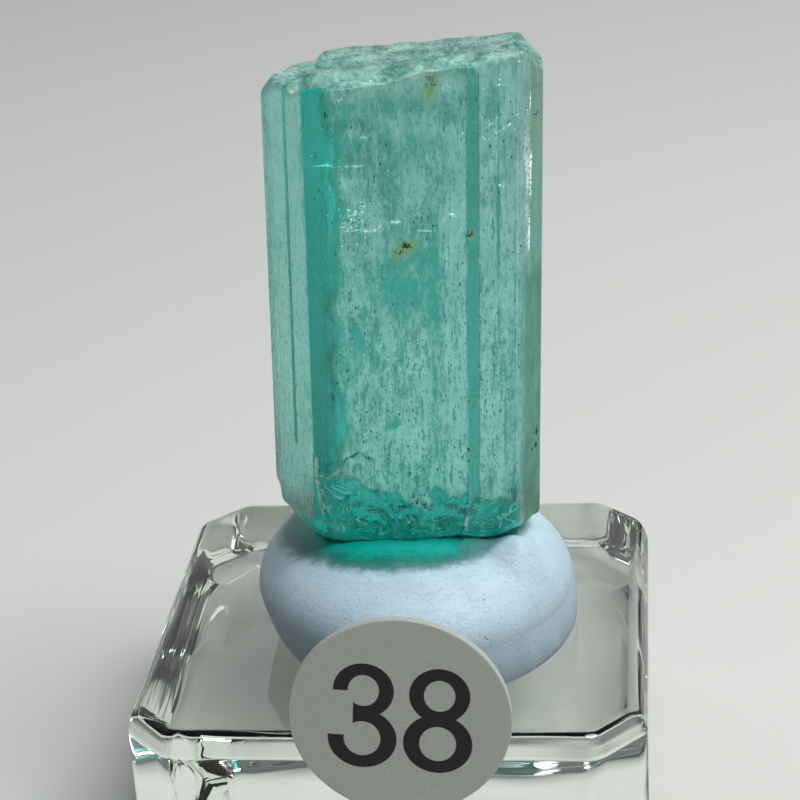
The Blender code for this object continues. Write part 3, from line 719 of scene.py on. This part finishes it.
def puttyHeight(x, y):
    # the crown: an ellipse in height over the oval plan, tilted to the left, with the squeezed-up lip
    across, inward = x - putty["centre"][0], (y - putty["centre"][1]) / putty["depthRatio"]
    radius = np.minimum(np.hypot(across, inward) / putty["radius"], 1.0)
    height = putty["bulgeHeight"] + putty["crown"] * np.sqrt(1 - radius ** 2)
    height = height * (1 + putty["tilt"] * across / putty["radius"])
    away = np.hypot(x - putty["lipCentre"][0], y - putty["lipCentre"][1])
    lip = putty["lipHeight"] * (1 - ease(away, 0.0, putty["lipSpread"]))
    lip = lip * ease(height, putty["bulgeHeight"], putty["bulgeHeight"] + 1.5)
    return blockTop + height + lip


def puttyRings():
    # columns are directions round the crystal. Rows go from the foot on the glass out to the bulge, in over
    # the crown to the seat's rim, and in under the crystal to the seat's middle
    places, outs, _, _ = filletedOutline(crystal["corners"], [0.25] * 9, 0.3, 3, 0)
    seatPlaces = places + outs * putty["seatGrow"]
    seatRim = crystalToFrame(np.column_stack([seatPlaces, np.zeros(len(seatPlaces))]))
    centre = np.array(putty["centre"])
    plan = (seatRim[:, :2] - centre) / (1, putty["depthRatio"])
    planAngle = np.arctan2(plan[:, 1], plan[:, 0])
    rimShare = np.hypot(plan[:, 0], plan[:, 1]) / putty["radius"]
    rimAngle = np.arcsin(np.clip(rimShare, 0, 0.999))

    def oval(radius, shift=0.0):
        return np.stack([centre[0] + shift + radius * np.cos(planAngle),
                         centre[1] + radius * np.sin(planAngle) * putty["depthRatio"]], -1)

    def underCrystal(flat):
        # the seat follows the crystal's foot, but never stands above the crown
        under = crystalToFrame(raised(flat, lambda x, y: footHeight(x, y) - putty["seatDepth"]))
        under[..., 2] = np.minimum(under[..., 2], puttyHeight(under[..., 0], under[..., 1]))
        return under

    swing = pi / 2 * (1 - np.linspace(0, 1, 16)[1:, None])
    radius = putty["footRadius"] + (putty["radius"] - putty["footRadius"]) * np.cos(swing)
    height = putty["bulgeHeight"] * (1 - np.sin(swing))
    tilt = 1 + putty["tilt"] * radius * np.cos(planAngle) / putty["radius"]
    sides = oval(radius, putty["footShift"] * (1 - height / putty["bulgeHeight"]))
    sides = np.concatenate([sides, (blockTop + putty["gap"] + height * tilt)[..., None]], -1)
    swing = pi / 2 + (rimAngle - pi / 2) * np.linspace(0, 1, 40)[1:, None]
    crown = raised(oval(putty["radius"] * np.sin(swing)), puttyHeight)
    middle = np.array(crystal["centre"])
    seat = underCrystal(middle + (places - middle) * np.linspace(1, 0, 22)[1:-1, None, None])
    return np.concatenate([sides, crown, seat]), underCrystal(middle)


def puttyMaterial():
    material, shader, coords = newMaterial("bluePutty")
    local = coords.millimetres()
    lumps = local.noise(0.5, 3.0, 0.5)
    grain = local.noise(11.0, 4.0, 0.6)
    rub = local.stretched(0.35, 0.5, 1.6).noise(3.5, 4.0, 0.65, 0.8)
    wrinkles = (local.noise(1.1, 3.0, 0.6, 1.5) - 0.5).size().rise(0.05, 0.0)
    hairs = local.stretched(1, 1, 0.25).noise(7.0, 1.0, 0.4, 1.5).rise(0.735, 0.76)
    scratches = local.stretched(0.3, 0.3, 1.5).noise(6.0, 1.0, 0.4, 1.0).rise(0.70, 0.74)
    bump = bumpOf(coords, grain * 0.35 + rub - scratches * 0.6 - wrinkles * 0.2, 0.65, 0.07)
    x, y, z = local.axes()
    colour = lumps.rise(0.3, 0.7).blend(*putty["blues"])
    # painted shade: darker towards the bottom, more so at the left, and darker towards the left at every
    # height
    low = (z - blockTop).rise(5.8, 3.0) * (0.35 + 0.25 * x.rise(1.0, -6.0))
    colour = (low + 0.2 * x.rise(0.5, -7.0)).blend(colour, putty["paintedShadeBlue"])
    colour = (rub.rise(0.54, 0.68) * 0.20 + wrinkles * 0.05).blend(colour, putty["rubbedBlue"])
    colour = grain.rise(0.66, 0.72).blend(colour, putty["grainBlue"])
    colour = hairs.blend(colour, putty["hair"])
    # painted shadow and painted light: under the crystal's overhang the putty is painted dark as the
    # crystal's shadow, and the crystal's own colour is painted on it as the light that passes through, darker
    # at the left and at the rim.
    # inside is below 1 within the oval that the crystal hangs over
    inside = (((x - 0.3) / 7.3) ** 2.0 + ((y + 1.0) / 6.9) ** 2.0) ** 0.5
    inside = inside + (local.noise(1.3, 3.0, 0.6) - 0.5) * 0.14
    colour = (inside.rise(1.05, 0.93) * 0.85).blend(colour, putty["paintedOverhangShadow"])
    nearness = inside + (local.noise(0.7, 3.0, 0.6) - 0.5) * 0.3
    paintedLightMask = inside.rise(1.0, 0.86) * x.rise(-6.6, -5.2) * x.rise(6.0, 3.5)
    colour = paintedLightMask.blend(colour, nearness.rise(0.95, 0.72).blend(*putty["paintedCausticGlows"]))
    feed(shader, {"Base Color": colour, "Roughness": 0.22 + 0.3 * rub + 0.1 * grain, "Normal": bump,
                  "Subsurface Weight": 0.1, "Subsurface Radius": (0.002, 0.002, 0.0025),
                  "Subsurface Scale": 0.3})
    return material


def makePutty():
    rings, pole = puttyRings()
    centre = putty["centre"]
    piece = closedSkin("puttySeat", rings, (centre[0], centre[1], blockTop + putty["gap"]), pole, 50)
    dress(piece, puttyMaterial(), "putty", "putty")


block = {
    "half": 15.0,
    "cut": 2.85,  # taken off each upright corner
    "drop": 1.3,  # height and inset of the bevel round the top
    "inset": 0.45,
    "height": blockTop,
    "straightInset": 1.2,  # further in than this, the rings are drawn towards the middle instead
    "capInset": 3.0,
    "cornerRound": 1.3,
    "topRound": 1.0,
    "footRound": 2.8,
    "ior": 1.52,
    "tint": (0.99, 1.0, 0.995, 1),
    "absorbColour": (0.78, 0.92, 0.72, 1),
    "absorbDensity": 11.0,
}


def roundedProfile(points, radii, steps=4, support=0.04):
    # straight runs whose inner corners become curves, (1-t)^2 a + 2t(1-t) corner + t^2 b, with a and b as far
    # from the corner as an arc of the radius would start, and a support point just beside each
    points = [np.array(point, float) for point in points]
    share = np.linspace(0, 1, steps + 1)[:, None]
    chain = [points[0]]
    for before, corner, after, radius in zip(points, points[1:], points[2:], radii):
        arriving, leaving = unit(corner - before), unit(after - corner)
        back = radius * tan(np.arccos(np.clip(arriving.dot(leaving), -1, 1)) / 2)
        first, second = corner - arriving * back, corner + leaving * back
        chain.append(corner - arriving * (back + support))
        chain.extend((1 - share) ** 2 * first + 2 * share * (1 - share) * corner + share ** 2 * second)
        chain.append(corner + leaving * (back + support))
    chain.append(points[-1])
    return np.array(chain)


def blockRings():
    # the cut-corner outline drawn in by the profile's inset at each height, then in to the middle at the caps
    half, cut, top, capInset = block["half"], block["cut"], block["height"], block["capInset"]
    near = half - cut
    corners = [(-near, -half), (near, -half), (half, -near), (half, near),
               (near, half), (-near, half), (-half, near), (-half, -near)]
    places, outs, _, _ = filletedOutline(corners, [1.2] * 8, block["cornerRound"] + block["inset"], 6)
    profile = roundedProfile([(capInset, 0.0), (0.0, 0.0), (0.0, top - block["drop"]), (block["inset"], top),
                              (capInset, top)], [block["footRound"], block["topRound"], block["topRound"]], 6)
    inset, height = profile[:, :1], profile[:, 1:]
    x, y = (places[:, axis] - outs[:, axis] * np.minimum(inset, block["straightInset"]) for axis in (0, 1))
    shrink = 1 - np.maximum(inset - block["straightInset"], 0) / half
    return np.stack([x * shrink, y * shrink, np.broadcast_to(height, x.shape)], -1)


def glassMaterial():
    material, shader, coords = newMaterial("clearGlass")
    local = coords.millimetres()
    smears, waves = local.noise(0.5, 4.0, 0.6), local.noise(0.16, 0.0)
    feed(shader, {"Base Color": block["tint"], "Roughness": 0.03 * smears.rise(0.5, 0.75),
                  "Normal": bumpOf(coords, waves, 0.6, 0.5), "Transmission Weight": 1.0,
                  "IOR": block["ior"]})
    absorbInside(coords, block["absorbColour"], block["absorbDensity"])
    return material


def makeBlock():
    piece = closedSkin("clearBlock", blockRings(), (0, 0, 0), (0, 0, block["height"]), 40)
    dress(piece, glassMaterial(), "clear_glass", "glass_block")


label = {
    "centre": (1.45, blockTop + 1.85),  # x and height
    "radius": 6.2,
    "front": -15.8,  # y of the face, of the disc's back and of the glued pad behind it
    "back": -15.3,
    "glued": -15.01,
    "padInset": 0.7,
    "round": 0.1,
    "digitTilt": radians(-5.0),
    "paper": [(0.46, 0.48, 0.45, 1), (0.52, 0.54, 0.51, 1)],
    "ink": (0.012, 0.012, 0.012, 1),
}


def labelRings():
    # a thin disc turned about the Y axis, from its glued pad at the back to its face, rims rounded
    radius, back, front, glued = label["radius"], label["back"], label["front"], label["glued"]
    pad = radius - label["padInset"]
    profile = roundedProfile([(pad - 1.5, glued), (pad, glued), (pad, back), (radius, back), (radius, front),
                              (radius - 2.5, front)], [label["round"]] * 4)
    turn = np.linspace(0, 2 * pi, 97)[:-1]
    reach, depth = profile[:, :1], profile[:, 1:]
    x = label["centre"][0] + reach * np.cos(turn)
    z = label["centre"][1] + reach * np.sin(turn)
    return np.stack([x, np.broadcast_to(depth, x.shape), z], -1)


def labelMaterial():
    material, shader, coords = newMaterial("numberedLabel")
    local = coords.millimetres()
    x, y, z = local.axes()
    x, z = x - label["centre"][0], z - label["centre"][1]
    tiltCos, tiltSin = cos(label["digitTilt"]), sin(label["digitTilt"])
    across, up = x * tiltCos + z * tiltSin, z * tiltCos - x * tiltSin

    def oval(left, rise, width, height):
        # below 1 inside the oval
        return (((across - left) / width) ** 2.0 + ((up - rise) / height) ** 2.0) ** 0.5

    def ring(left, rise, outer, inner):
        return oval(left, rise, *outer).rise(1.01, 0.99) * oval(left, rise, *inner).rise(0.985, 1.015)

    def pair(left):
        # the two bows of an 8
        upper = ring(left, 1.62, (1.68, 1.72), (0.86, 0.98))
        lower = ring(left, -1.45, (1.92, 1.88), (1.02, 1.10))
        return upper.high(lower)

    # a 3 is an 8 with its left side opened between the two bows; the ink lies on the face alone
    soft = 0.02
    opening = (across + 2.60).rise(soft, -soft) * (up - 1.55).rise(soft, -soft)
    opening = opening * (up + 1.30).rise(-soft, soft)
    ink = (pair(-2.05) * (1 - opening)).high(pair(2.15)) * (y - label["front"] - 0.1).rise(soft, -soft)
    fibres = local.noise(6.0, 4.0, 0.6)
    colour = ink.blend(fibres.rise(0.3, 0.7).blend(*label["paper"]), label["ink"])
    feed(shader, {"Base Color": colour, "Roughness": 0.5 - 0.1 * ink, "Specular IOR Level": 0.25,
                  "Normal": bumpOf(coords, fibres, 0.15, 0.02)})
    return material


def makeLabel():
    centre = label["centre"]
    piece = closedSkin("numberDisc", labelRings(), (centre[0], label["glued"], centre[1]),
                       (centre[0], label["front"], centre[1]), 40)
    dress(piece, labelMaterial(), "label", "number_label")


camera = {
    "place": (15.91, -125.09, 69.88 + blockTop),
    "right": (0.99376412, 0.09588008, -0.05691991),  # directions of the view's right and up
    "up": (0.01277217, 0.40923725, 0.91233861),
    "lens": 105.03,
}


def makeCamera():
    data = bpy.data.cameras.new("camera")
    data.lens, data.sensor_width, data.clip_start = camera["lens"], 36.0, 0.005
    shot = bpy.data.objects.new("camera", data)
    right, up = Vector(camera["right"]), Vector(camera["up"])
    turned = Matrix((right, up, right.cross(up))).transposed().to_4x4()
    shot.matrix_world = Matrix.Translation(Vector(camera["place"]) * mm) @ turned
    bpy.context.scene.collection.objects.link(shot)
    bpy.context.scene.camera = shot


studio = {
    "floorHalf": 3000,
    "floorDrop": 0.02,
    "floorColour": (0.745, 0.755, 0.725, 1),
    "keyPlace": (185, -62, 396),
    "keyAim": (0, 0, 20),
    "keySize": 260,
    "keyWatts": 1.6,
    # room brightness: overhead, all round at the horizon, and the pale wall behind
    "zenith": (0.13, 0.135, 0.14, 1),
    "horizon": (0.025, 0.025, 0.025, 1),
    "backWall": (0.72, 0.74, 0.74, 1),
}


def makeStage():
    half, drop = studio["floorHalf"] * mm, studio["floorDrop"] * mm
    corners = [(x * half, y * half, -drop) for x, y in ((-1, -1), (1, -1), (1, 1), (-1, 1))]
    mesh = bpy.data.meshes.new("paleFloor")
    mesh.from_pydata(corners, [], [(0, 1, 2, 3)])
    floor = bpy.data.objects.new("paleFloor", mesh)
    bpy.context.scene.collection.objects.link(floor)
    material, shader, _ = newMaterial("paleFloor")
    feed(shader, {"Base Color": studio["floorColour"], "Roughness": 0.8})
    mesh.materials.append(material)


def makeLights():
    # a round softbox above, behind and to the right, in a room that is pale overhead and dark by the camera
    data = bpy.data.lights.new("highBackSoftbox", "AREA")
    data.shape, data.size, data.energy = "DISK", studio["keySize"] * mm, studio["keyWatts"]
    lamp = bpy.data.objects.new("highBackSoftbox", data)
    place, aim = Vector(studio["keyPlace"]), Vector(studio["keyAim"])
    lamp.location = place * mm
    lamp.rotation_euler = (aim - place).to_track_quat("-Z", "Y").to_euler()
    bpy.context.scene.collection.objects.link(lamp)
    world = bpy.data.worlds.new("softRoom")
    bpy.context.scene.world = world
    world.use_nodes = True
    nodes = world.node_tree.nodes
    _, y, z = Wire(nodes.new("ShaderNodeTexCoord").outputs["Generated"]).axes()
    sky = z.rise(0.1, 0.8).blend(studio["horizon"], studio["zenith"])
    wall = y.rise(0.1, 0.6) * z.rise(0.02, 0.16) * z.rise(1.0, 0.55)
    feed(nodes["Background"], {"Color": wall.blend(sky, studio["backWall"])})
    print("floor and lights set")


makeCamera()
makeStage()
makeLights()
makeBlock()
makePutty()
makeCrystal()
makeSpecks()
makeCluster(rustGrains)
makeCluster(paintedGlintGrains)
makeSheets(flashes)
makeSheets(paintedEdgeStreak)
makeLabel()
bpy.context.scene.view_settings.view_transform = "Standard"
